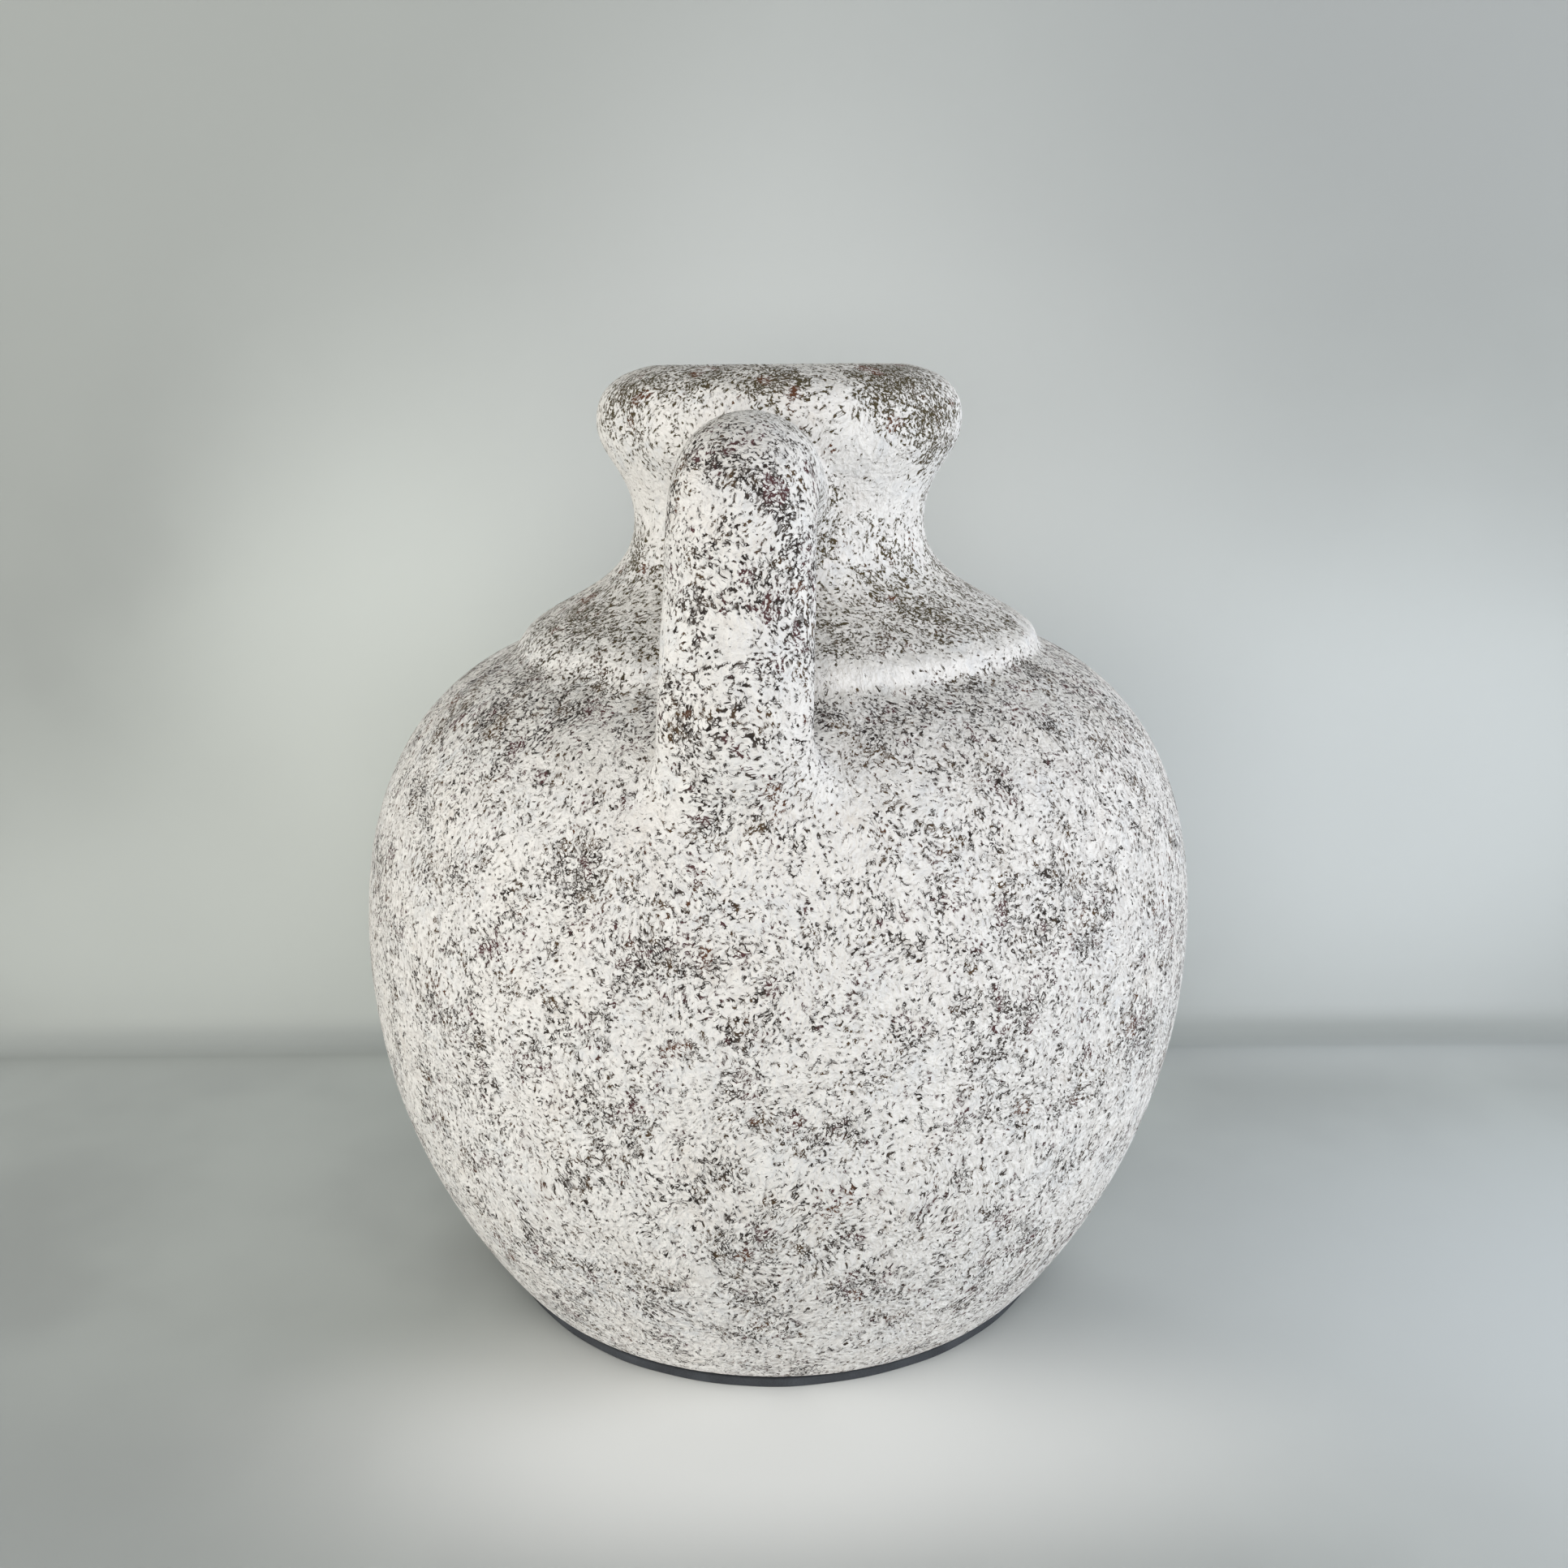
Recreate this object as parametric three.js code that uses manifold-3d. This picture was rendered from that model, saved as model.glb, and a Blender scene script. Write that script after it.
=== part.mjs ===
// A heavy hand-built clay vase with one thick handle, standing on a thin foam pad.
// Millimetres, +Z up. The origin is the middle of the pad's underside, and the handle faces -Y.
// The clay sections stand on each other face to face, and the handle is luted on with flared roots.

import * as THREE from 'three';
import { mergeVertices } from 'three/addons/utils/BufferGeometryUtils.js';
import Module from 'manifold-3d';

// Driving dimensions. Heights are stacked from the ground up, so each one lifts all that stands on it.
const pad = {
  radius: 126,
  thickness: 4,
  edgeRound: 0.8,
};

const belly = {
  footRadius: 126.5,
  footRound: 3,
  footLean: 38.5, // degrees the wall leans out where it leaves the foot
  footToWidest: 158,
  widestRadius: 182,
  widestToStep: 125,
  stepRadius: 112.4, // outside edge of the seat that carries the shoulder section
  stepSlope: 20.6, // degrees the belly's top falls away from that seat
  openingRadius: 101,
  openingEdge: 6, // upright inside face of the opening
  wall: 9,
  floor: 12,
  floorCorner: [7, 28], // inside rounding of the floor: its pull and its length in from the wall
  floorCornerHeight: 14,
};

const shoulder = {
  edgeRadius: 110.6,
  edgeHeight: 7, // upright face of the step
  edgeInset: 0.5, // the shoulder section's foot stands this far inside the belly's seat
  edgeSlope: 39.5,
  edgeToWaist: 46,
  waistRadius: 62,
  boreHeight: 6, // the neck's bore runs straight this far above the waist
  wall: 9,
};

const rim = {
  radius: 77,
  waistToWidest: 41,
  widestToTop: 23,
  lipRadius: 50, // circle of the topmost line
  lipSlope: 7.5,
  mouthRadius: 46.5,
  mouthRound: 4,
  throatHeight: 31, // the mouth's bore starts to open out this far above the waist
  joinHeight: 21.5, // the rolled lip starts this far above the waist
  joinBore: 49.5,
};

const handle = {
  springWidth: 52.5, // at the neck, from where it broadens towards the belly
  landingWidth: 58,
  innerDepth: 16, // the section's flatter half, on the side of the fingers
  neckDome: 15, // depth of its domed outer half, which is fullest over the crown
  crownDome: 25.5,
  bellyDome: 16,
  crownShare: 0.38, // where the crown lies along the centre line
  springHeight: 12, // centre line above the waist where it leaves the neck
  springPull: 35,
  springSlope: 26, // degrees it climbs out of the neck
  reach: 68, // centre line of the grip outside the neck's waist
  gripAboveStep: 51,
  crownPull: 34,
  gripPull: 24,
  gripLean: 7, // degrees off plumb, outwards going down
  landingBelowStep: 21,
  landingPull: 26,
  landingLean: 17, // degrees off plumb, inwards going down
  neckFillet: 6,
  bellyFillet: 12.5,
  rootEdge: 0.8, // thickness of the smeared clay at its outer edge
  rootSink: 2, // the blank runs this far into the wall before it is cut to it
  rootRun: 35, // length of its centre line carried on straight behind each wall
};

const clearance = 0.3; // between the handle's roots and the wall that they are luted to
const weldDistance = 1e-4;
const leastStep = 0.5; // points of an outline closer than this to its end are left out
const lean = 0.0102; // sideways drift of the pot for each millimetre of height

// How strongly each curve of the outline holds its direction at its two ends, as a share of its chord
const pull = {
  lowerBelly: [0.306, 0.362],
  upperBelly: [0.42, 0.37],
  shoulder: [0.31, 0.39],
  flare: [0.475, 0.345],
  roll: [0.275, 0.645],
};

// Fineness of the faceted solids
const facets = {
  turn: 60,
  longCurve: 12,
  shortCurve: 8,
  handleRings: 24,
  handleSides: 24,
  handleSearch: 240,
  filletSteps: 5,
  corner: 4,
};

const footZ = pad.thickness;
const widestZ = footZ + belly.footToWidest;
const stepZ = widestZ + belly.widestToStep;
const edgeZ = stepZ + shoulder.edgeHeight;
const waistZ = edgeZ + shoulder.edgeToWaist;
const rimWidestZ = waistZ + rim.waistToWidest;
const topZ = rimWidestZ + rim.widestToTop;
const rimJoinZ = waistZ + rim.joinHeight;

const wasm = await Module();
wasm.setup();

const spot = (radius, z) => new THREE.Vector2(radius, z);
const radians = THREE.MathUtils.degToRad;
const heading = (degrees) => spot(Math.cos(radians(degrees)), Math.sin(radians(degrees)));

// One curve of the outline, leaving and arriving along the given headings, in degrees from outwards
function swell(from, fromHeading, to, toHeading, [fromPull, toPull]) {
  const chord = from.distanceTo(to);
  const leave = from.clone().addScaledVector(heading(fromHeading), fromPull * chord);
  const arrive = to.clone().addScaledVector(heading(toHeading), -toPull * chord);
  return new THREE.CubicBezierCurve(from, leave, arrive, to);
}

const outline = {
  lowerBelly: swell(
    spot(belly.footRadius, footZ), 90 - belly.footLean,
    spot(belly.widestRadius, widestZ), 90, pull.lowerBelly),
  upperBelly: swell(
    spot(belly.widestRadius, widestZ), 90,
    spot(belly.stepRadius, stepZ), 180 - belly.stepSlope, pull.upperBelly),
  shoulder: swell(
    spot(shoulder.edgeRadius, edgeZ), 180 - shoulder.edgeSlope,
    spot(shoulder.waistRadius, waistZ), 90, pull.shoulder),
  flare: swell(
    spot(shoulder.waistRadius, waistZ), 90,
    spot(rim.radius, rimWidestZ), 90, pull.flare),
  roll: swell(
    spot(rim.radius, rimWidestZ), 90,
    spot(rim.lipRadius, topZ), 180 - rim.lipSlope, pull.roll),
};

// Points of an outline moved square to it, outwards for a positive distance
function offsetPoints(curve, count, distance) {
  return Array.from({ length: count + 1 }, (_, i) => {
    const t = i / count;
    const along = curve.getTangent(t);
    return curve.getPoint(t).add(spot(along.y, -along.x).multiplyScalar(distance));
  });
}

// Radius of a rising outline at one height
function radiusAt(points, z) {
  const next = points.findIndex((point) => point.y >= z);
  if (next <= 0) return points.at(next).x;
  const [low, high] = [points[next - 1], points[next]];
  return low.x + ((high.x - low.x) * (z - low.y)) / (high.y - low.y);
}

const below = (points, z) => points.filter((point) => point.y < z - leastStep);
const above = (points, z) => points.filter((point) => point.y > z + leastStep);
const arc = (x, y, radius, from, to, steps) => Array.from({ length: steps + 1 }, (_, i) =>
  spot(x, y).addScaledVector(heading(from + ((to - from) * i) / steps), radius));

// The solid turned from a closed outline, or from one that starts and ends on the axis
function turned(points) {
  return new THREE.LatheGeometry(points, facets.turn).rotateX(Math.PI / 2);
}

const closed = (points) => [...points, points[0].clone()];

function makePad() {
  const round = pad.edgeRound;
  return turned([
    spot(0, 0),
    spot(pad.radius - round, 0),
    spot(pad.radius, round),
    spot(pad.radius, pad.thickness - round),
    spot(pad.radius - round, pad.thickness),
    spot(0, pad.thickness),
  ]);
}

const flareOutside = offsetPoints(outline.flare, facets.longCurve, 0);
const joinRadius = radiusAt(flareOutside, rimJoinZ);

// Outside of each clay section, from the ground up
const outside = {
  belly: [
    spot(belly.footRadius - belly.footRound, footZ),
    ...above(offsetPoints(outline.lowerBelly, facets.longCurve, 0), footZ + belly.footRound),
    ...offsetPoints(outline.upperBelly, facets.longCurve, 0).slice(1),
  ],
  shoulder: [
    spot(belly.stepRadius - shoulder.edgeInset, stepZ),
    ...offsetPoints(outline.shoulder, facets.shortCurve, 0),
    ...below(flareOutside.slice(1), rimJoinZ),
    spot(joinRadius, rimJoinZ),
  ],
  rim: [
    spot(joinRadius, rimJoinZ),
    ...above(flareOutside, rimJoinZ),
    ...offsetPoints(outline.roll, facets.shortCurve, 0).slice(1),
  ],
};

function makeLowerBody() {
  const inner = [
    ...offsetPoints(outline.lowerBelly, facets.shortCurve, -belly.wall),
    ...offsetPoints(outline.upperBelly, facets.shortCurve, -belly.wall).slice(1),
  ].filter((point) => point.x > belly.openingRadius + leastStep);
  const floorZ = footZ + belly.floor;
  const wallPoints = above(inner, floorZ + belly.floorCornerHeight).reverse();
  const [cornerPull, cornerLength] = belly.floorCorner;
  const corner = new THREE.QuadraticBezierCurve(
    wallPoints.at(-1),
    spot(wallPoints.at(-1).x - cornerPull, floorZ),
    spot(wallPoints.at(-1).x - cornerLength, floorZ));
  return turned([
    spot(0, footZ),
    ...outside.belly,
    spot(belly.openingRadius, stepZ),
    spot(belly.openingRadius, stepZ - belly.openingEdge),
    ...wallPoints,
    ...corner.getPoints(facets.corner).slice(1),
    spot(0, floorZ),
  ]);
}

function makeShoulderNeck() {
  const inner = [
    ...offsetPoints(outline.shoulder, facets.shortCurve, -shoulder.wall),
    spot(shoulder.waistRadius - shoulder.wall, waistZ + shoulder.boreHeight),
  ].filter((point) => point.x < belly.openingRadius - leastStep && point.y > stepZ + leastStep);
  return turned(closed([
    ...outside.shoulder,
    spot(rim.joinBore, rimJoinZ),
    ...inner.reverse(),
    spot(belly.openingRadius, stepZ),
  ]));
}

function makeRimRoll() {
  const mouthZ = topZ - rim.mouthRound;
  return turned(closed([
    ...outside.rim,
    ...arc(
      rim.mouthRadius + rim.mouthRound, mouthZ, rim.mouthRound,
      90 + 2 * rim.lipSlope, 180, facets.corner),
    spot(rim.mouthRadius, waistZ + rim.throatHeight),
    spot(rim.joinBore, rimJoinZ),
  ]));
}

// The whole outside as one rising line, and the same line grown by a gap
const wallLine = [...outside.belly, ...outside.shoulder, ...outside.rim.slice(1)];

function grown(points, gap) {
  return points.map((point, i) => {
    const before = points[Math.max(i - 1, 0)];
    const after = points[Math.min(i + 1, points.length - 1)];
    const along = after.clone().sub(before).normalize();
    return point.clone().add(spot(along.y, -along.x).multiplyScalar(gap));
  });
}

// Distance from a point to the turned outside, negative within it, and the way straight off it
function wallAt(point) {
  const here = spot(Math.hypot(point.x, point.y), point.z);
  let best = { distance: Infinity };
  for (let i = 1; i < wallLine.length; i += 1) {
    const span = wallLine[i].clone().sub(wallLine[i - 1]);
    const share = here.clone().sub(wallLine[i - 1]).dot(span) / span.lengthSq();
    const foot = wallLine[i - 1].clone().addScaledVector(span, THREE.MathUtils.clamp(share, 0, 1));
    const away = here.clone().sub(foot);
    if (away.length() < Math.abs(best.distance)) {
      const side = Math.sign(away.x * span.y - away.y * span.x) || 1;
      const off = away.length() > weldDistance ? away.multiplyScalar(side) : spot(span.y, -span.x);
      best = { distance: side * foot.distanceTo(here), off: off.normalize() };
    }
  }
  const spin = spot(point.x, point.y).normalize();
  return {
    distance: best.distance,
    off: new THREE.Vector3(spin.x * best.off.x, spin.y * best.off.x, best.off.y),
  };
}

// Clay smeared out at a root: a point less than the fillet's size from the wall slides along the
// wall, so that the root runs into it on a parabola that touches both
function smear(point, outwards, size) {
  const wall = wallAt(point);
  if (wall.distance >= size) return point;
  const slide = (Math.sqrt(size) - Math.sqrt(Math.max(wall.distance, 0))) ** 2;
  const along = outwards.clone().addScaledVector(wall.off, -outwards.dot(wall.off)).normalize();
  const moved = point.clone().addScaledVector(along, slide);
  const there = wallAt(moved);
  return moved.addScaledVector(there.off, wall.distance - there.distance);
}

// The handle's centre line in the YZ plane: out of the neck, over the crown, down the grip, into the belly
function handlePath() {
  const place = (radius, z) => new THREE.Vector3(0, -radius, z);
  const step = (from, degrees, length) => from.clone().add(
    new THREE.Vector3(0, -Math.cos(radians(degrees)), Math.sin(radians(degrees))).multiplyScalar(length));
  const springZ = waistZ + handle.springHeight;
  const landingZ = stepZ - handle.landingBelowStep;
  const bellyTop = outside.belly.filter((point) => point.y >= widestZ);
  const spring = place(radiusAt(flareOutside, springZ), springZ);
  const grip = place(shoulder.waistRadius + handle.reach, stepZ + handle.gripAboveStep);
  const landing = place(radiusAt(bellyTop, landingZ), landingZ);
  const gripDown = handle.gripLean - 90;
  const landingDown = -90 - handle.landingLean;
  const path = new THREE.CurvePath();
  path.add(new THREE.LineCurve3(step(spring, handle.springSlope, -handle.rootRun), spring));
  path.add(new THREE.CubicBezierCurve3(
    spring, step(spring, handle.springSlope, handle.springPull),
    step(grip, gripDown, -handle.crownPull), grip));
  path.add(new THREE.CubicBezierCurve3(
    grip, step(grip, gripDown, handle.gripPull),
    step(landing, landingDown, -handle.landingPull), landing));
  path.add(new THREE.LineCurve3(landing, step(landing, landingDown, handle.rootRun)));
  return path;
}

// Depth of the section's outer half along the handle
function domeAt(share) {
  const { smoothstep, lerp } = THREE.MathUtils;
  return share < handle.crownShare
    ? lerp(handle.neckDome, handle.crownDome, smoothstep(share, 0, handle.crownShare))
    : lerp(handle.crownDome, handle.bellyDome, smoothstep(share, handle.crownShare, 1));
}

// One line of points along the handle, at one angle of its domed section
function makeColumn(path, angle) {
  const across = new THREE.Vector3(1, 0, 0);
  const [c, s] = [Math.cos(angle), Math.sin(angle)];
  return (share) => {
    const width = THREE.MathUtils.lerp(handle.springWidth, handle.landingWidth, share * share);
    const depth = s > 0 ? domeAt(share) : handle.innerDepth;
    const outer = new THREE.Vector3().crossVectors(path.getTangentAt(share), across).normalize();
    const point = path.getPointAt(share)
      .addScaledVector(across, (c * width) / 2)
      .addScaledVector(outer, s * depth);
    const outwards = across.clone().multiplyScalar((2 * c) / width)
      .addScaledVector(outer, s / depth).normalize();
    return { point, outwards };
  };
}

// Stops along a column from its clearest point to one end, with how far each stands off the wall
function walkColumn(column) {
  const stops = Array.from({ length: facets.handleSearch + 1 }, (_, i) => {
    const share = i / facets.handleSearch;
    return { share, distance: wallAt(column(share).point).distance };
  });
  const clearest = stops.reduce((best, stop, i) => (stop.distance > stops[best].distance ? i : best), 0);
  return { toNeck: stops.slice(0, clearest + 1).reverse(), toBelly: stops.slice(clearest) };
}

// A root's points on one column, from where its fillet starts down to just inside the wall, and the
// share of the path at which it starts
function rootPoints(column, walk, size) {
  const shareAt = (distance) => {
    const i = Math.max(walk.findIndex((stop) => stop.distance <= distance), 1);
    const [far, near] = [walk[i - 1], walk[i]];
    const part = (far.distance - distance) / (far.distance - near.distance);
    return far.share + (near.share - far.share) * part;
  };
  const last = 1 - Math.sqrt(handle.rootEdge / size);
  const points = Array.from({ length: facets.filletSteps + 1 }, (_, i) => {
    const { point, outwards } = column(shareAt(size * (1 - (last * i) / facets.filletSteps) ** 2));
    return smear(point, outwards, size);
  });
  const edge = points.at(-1);
  points.push(edge.clone().addScaledVector(wallAt(edge).off, -handle.rootEdge - handle.rootSink));
  return { points, start: shareAt(size) };
}

// Every column has as many points, so the columns join into rings round the handle
function makeHandleBlank() {
  const path = handlePath();
  const sides = facets.handleSides;
  const columns = Array.from({ length: sides }, (_, j) => {
    const column = makeColumn(path, (2 * Math.PI * j) / sides);
    const { toNeck, toBelly } = walkColumn(column);
    const neck = rootPoints(column, toNeck, handle.neckFillet);
    const foot = rootPoints(column, toBelly, handle.bellyFillet);
    const grip = Array.from({ length: facets.handleRings - 1 }, (_, i) =>
      column(neck.start + ((foot.start - neck.start) * (i + 1)) / facets.handleRings).point);
    return [...neck.points.reverse(), ...grip, ...foot.points];
  });
  const last = columns[0].length - 1;
  const faces = [];
  const at = (i, j) => (j % sides) * (last + 1) + i;
  for (let i = 0; i < last; i += 1) {
    for (let j = 0; j < sides; j += 1) {
      faces.push(at(i, j), at(i, j + 1), at(i + 1, j + 1));
      faces.push(at(i, j), at(i + 1, j + 1), at(i + 1, j));
    }
  }
  for (let j = 1; j < sides - 1; j += 1) {
    faces.push(at(0, 0), at(0, j + 1), at(0, j));
    faces.push(at(last, 0), at(last, j), at(last, j + 1));
  }
  const vertices = columns.flat().flatMap((point) => point.toArray());
  const geometry = new THREE.BufferGeometry();
  geometry.setAttribute('position', new THREE.Float32BufferAttribute(vertices, 3));
  geometry.setIndex(faces);
  return geometry;
}

function toManifold(geometry) {
  const bare = geometry.clone();
  bare.deleteAttribute('normal');
  bare.deleteAttribute('uv');
  const merged = mergeVertices(bare, weldDistance);
  return new wasm.Manifold(new wasm.Mesh({
    numProp: 3,
    vertProperties: new Float32Array(merged.attributes.position.array),
    triVerts: new Uint32Array(merged.index.array),
  }));
}

function fromManifold(solid) {
  const mesh = solid.getMesh();
  const geometry = new THREE.BufferGeometry();
  geometry.setAttribute('position', new THREE.BufferAttribute(mesh.vertProperties, 3));
  geometry.setIndex(new THREE.BufferAttribute(mesh.triVerts, 1));
  geometry.computeVertexNormals();
  return geometry;
}

// The handle is cut where it meets the pot, a clearance outside the wall
function makeHandle() {
  const filled = [spot(0, wallLine[0].y), ...grown(wallLine, clearance), spot(0, wallLine.at(-1).y)];
  return fromManifold(toManifold(makeHandleBlank()).subtract(toManifold(turned(filled))));
}

const finishes = {
  clay: new THREE.MeshStandardMaterial({ color: 0xd9d6cf, roughness: 0.95, metalness: 0 }),
  foam: new THREE.MeshStandardMaterial({ color: 0x34373b, roughness: 0.9, metalness: 0 }),
};

function piece(name, geometry, material) {
  const leaning = new THREE.Matrix4().makeShear(0, 0, 0, 0, lean, 0);
  const mesh = new THREE.Mesh(geometry.applyMatrix4(leaning), material);
  mesh.name = name;
  return mesh;
}

const vase = new THREE.Group();
vase.add(
  piece('base_pad', makePad(), finishes.foam),
  piece('lower_body', makeLowerBody(), finishes.clay),
  piece('shoulder_neck', makeShoulderNeck(), finishes.clay),
  piece('rim_roll', makeRimRoll(), finishes.clay),
  piece('handle', makeHandle(), finishes.clay),
);

export default vase;
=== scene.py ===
# A heavy whitewashed clay vase with one thick handle, on a thin foam pad.
# Shapes are worked out in millimetres in the CAD frame and turned to metres when a mesh is made.

import math

import bmesh
import bpy
import numpy as np
from mathutils import Matrix, Vector


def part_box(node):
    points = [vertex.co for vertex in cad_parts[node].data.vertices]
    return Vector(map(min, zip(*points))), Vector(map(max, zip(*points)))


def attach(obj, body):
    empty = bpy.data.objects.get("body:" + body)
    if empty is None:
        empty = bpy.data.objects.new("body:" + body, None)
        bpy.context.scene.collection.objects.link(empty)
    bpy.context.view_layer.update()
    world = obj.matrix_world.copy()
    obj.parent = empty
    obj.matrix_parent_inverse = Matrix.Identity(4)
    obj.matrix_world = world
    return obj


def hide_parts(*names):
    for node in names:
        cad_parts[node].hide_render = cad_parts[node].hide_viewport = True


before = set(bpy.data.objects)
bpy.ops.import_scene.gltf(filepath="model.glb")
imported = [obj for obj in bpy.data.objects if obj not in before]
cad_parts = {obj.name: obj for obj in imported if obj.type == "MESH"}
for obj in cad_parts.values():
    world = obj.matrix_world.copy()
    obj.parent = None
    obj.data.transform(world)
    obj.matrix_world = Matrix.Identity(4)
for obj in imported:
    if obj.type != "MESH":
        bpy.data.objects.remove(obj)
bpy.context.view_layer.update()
mm = 0.001


def nodeHeights(node):
    low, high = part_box(node)
    return low.z / mm, high.z / mm


footZ, stepZ = nodeHeights("lower_body")
rimJoinZ, topZ = nodeHeights("rim_roll")
print("frame loaded, pot from", footZ, "to", topZ, "mm")

# Sizes shared by the pot's sections, in mm and degrees
potShape = {
    "lean": 0.0102,  # sideways drift per mm of height
    "footRadius": 126.5,
    "footRound": 3,
    "footLean": 38.5,
    "footToWidest": 158,
    "widestRadius": 182,
    "stepRadius": 112.4,
    "stepSlope": 20.6,
    "edgeRadius": 110.6,
    "edgeHeight": 7,
    "edgeSlope": 39.5,
    "edgeToWaist": 46,
    "waistRadius": 62,
    "rimRadius": 77,
    "widestToTop": 23,  # the rim's widest line below its top
    "lipRadius": 50,
    "lipSlope": 7.5,
    "mouthRadius": 46.5,
    "mouthRound": 4,
    "wall": 9,
    "floor": 12,
    "openingRadius": 101,
    "joinBore": 49.5,
    "seatHeight": 6,
    "floorCorner": ((7, 2), (28, 0)),  # in from the wall and up from the floor, where the inside turns
    "washDepth": 12,  # the wash is whole down to here inside the mouth
    "washFade": 30,  # and gone this much further down
    "softness": 2.2,  # how far fingers and a wet sponge rounded every corner
    "wornSoftness": 3.8,  # the same on the side where the step is nearly wiped away
    "wornFrom": 190,  # direction of that side, in degrees from +X
    "wornReach": 24,  # only this near to the step
    "linePitch": 0.4,  # spacing of the section line before rows are chosen on it
}

# How strongly each curve of the outline holds its direction at its two ends
potPulls = {
    "lowerBelly": (0.306, 0.362),
    "upperBelly": (0.42, 0.37),
    "shoulder": (0.31, 0.39),
    "flare": (0.475, 0.345),
    "roll": (0.275, 0.645),
}

# Fineness of the turned meshes: columns round the pot, and row spacing in mm
potMesh = {
    "around": 420,
    "seamStep": 0.35,
    "seamReach": 5,  # rows open out from seamStep to full spacing over this length
    "bellyStep": 2.75,
    "neckStep": 1.5,
    "insideStep": 9,
    "sharpAngle": 55,
}

# Unevenness of the hand-worked clay, in mm: broad swells, and coarse grit under the wash
clayRelief = {
    "Swell Size": 70,
    "Swell Height": 0.8,
    "Grit Size": 7,
    "Grit Height": 0.35,
}

widestZ = footZ + potShape["footToWidest"]
edgeZ = stepZ + potShape["edgeHeight"]
waistZ = edgeZ + potShape["edgeToWaist"]
rimWidestZ = topZ - potShape["widestToTop"]


# Sum of sine waves round a circle, each given by its size, its number and where it starts
def waves(angle, parts):
    return sum(size * math.sin(number * angle + start) for size, number, start in parts)


def heading(degrees):
    return np.array([math.cos(math.radians(degrees)), math.sin(math.radians(degrees))])


def smoothstep(low, high, value):
    t = np.clip((value - low) / (high - low), 0, 1)
    return t * t * (3 - 2 * t)


def bezierPoints(corners, count):
    t = np.linspace(0, 1, count + 1)[:, None]
    a, b, c, d = (np.asarray(corner, float) for corner in corners)
    return (1 - t) ** 3 * a + 3 * (1 - t) ** 2 * t * b + 3 * (1 - t) * t**2 * c + t**3 * d


# One curve of the outline, leaving and arriving along the given headings
def swell(start, startHeading, end, endHeading, pulls, count=200):
    start, end = np.array(start, float), np.array(end, float)
    chord = np.linalg.norm(end - start)
    leave = start + heading(startHeading) * pulls[0] * chord
    arrive = end - heading(endHeading) * pulls[1] * chord
    return bezierPoints((start, leave, arrive, end), count)


def lineSlopes(points):
    along = np.gradient(points, axis=0)
    return along / np.linalg.norm(along, axis=1)[:, None]


def movedInwards(points, distance):
    along = lineSlopes(points)
    return points + distance * np.column_stack([-along[:, 1], along[:, 0]])


def runLengths(points):
    return np.concatenate([[0], np.cumsum(np.linalg.norm(np.diff(points, axis=0), axis=1))])


def pointsAt(points, run, stations):
    return np.column_stack([np.interp(stations, run, column) for column in points.T])


def spaced(points, step):
    run = runLengths(points)
    return pointsAt(points, run, np.linspace(0, run[-1], int(round(run[-1] / step)) + 1))


# Rounds the corners of an evenly spaced line without moving its ends
def softened(points, step, softness):
    reach = int(4 * softness / step)
    weights = np.exp(-0.5 * (np.arange(-reach, reach + 1) * step / softness) ** 2)
    before = 2 * points[0] - points[reach:0:-1]
    after = 2 * points[-1] - points[-2:-reach - 2:-1]
    padded = np.vstack([before, points, after])
    return np.column_stack([np.convolve(column, weights / weights.sum(), "valid") for column in padded.T])


def potOutside():
    shape = potShape
    foot = (shape["footRadius"], footZ)
    widest = (shape["widestRadius"], widestZ)
    step = (shape["stepRadius"], stepZ)
    edge = (shape["edgeRadius"], edgeZ)
    waist = (shape["waistRadius"], waistZ)
    rimWidest = (shape["rimRadius"], rimWidestZ)
    lip = (shape["lipRadius"], topZ)
    curves = {
        "lowerBelly": (foot, 90 - shape["footLean"], widest, 90),
        "upperBelly": (widest, 90, step, 180 - shape["stepSlope"]),
        "shoulder": (edge, 180 - shape["edgeSlope"], waist, 90),
        "flare": (waist, 90, rimWidest, 90),
        "roll": (rimWidest, 90, lip, 180 - shape["lipSlope"]),
    }
    return {name: swell(*curve, potPulls[name]) for name, curve in curves.items()}


# The inner wall from the lip down to the floor's middle
def potInside(outside):
    shape = potShape
    lipCentre = np.array([shape["mouthRadius"] + shape["mouthRound"], topZ - shape["mouthRound"]])
    lipTurn = [lipCentre + shape["mouthRound"] * heading(degrees)
               for degrees in np.linspace(90 + 2 * shape["lipSlope"], 180, 8)]
    neck = movedInwards(np.vstack([outside["shoulder"], outside["flare"][1:]]), shape["wall"])
    neck = neck[(neck[:, 0] < shape["openingRadius"]) & (neck[:, 1] < waistZ) & (neck[:, 1] > stepZ)]
    belly = movedInwards(np.vstack([outside["lowerBelly"], outside["upperBelly"][1:]]), shape["wall"])
    floorTop = footZ + shape["floor"]
    belly = belly[(belly[:, 0] > shape["openingRadius"]) & (belly[:, 1] > floorTop + shape["floor"])]
    return np.vstack([
        lipTurn,
        [(shape["mouthRadius"], (rimJoinZ + rimWidestZ) / 2), (shape["joinBore"], rimJoinZ)],
        neck[::-1],
        [(shape["openingRadius"], stepZ), (shape["openingRadius"], stepZ - shape["seatHeight"])],
        belly[::-1],
        [(belly[0, 0] - inwards, floorTop + up) for inwards, up in shape["floorCorner"]],
        [(0, floorTop)],
    ])


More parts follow.
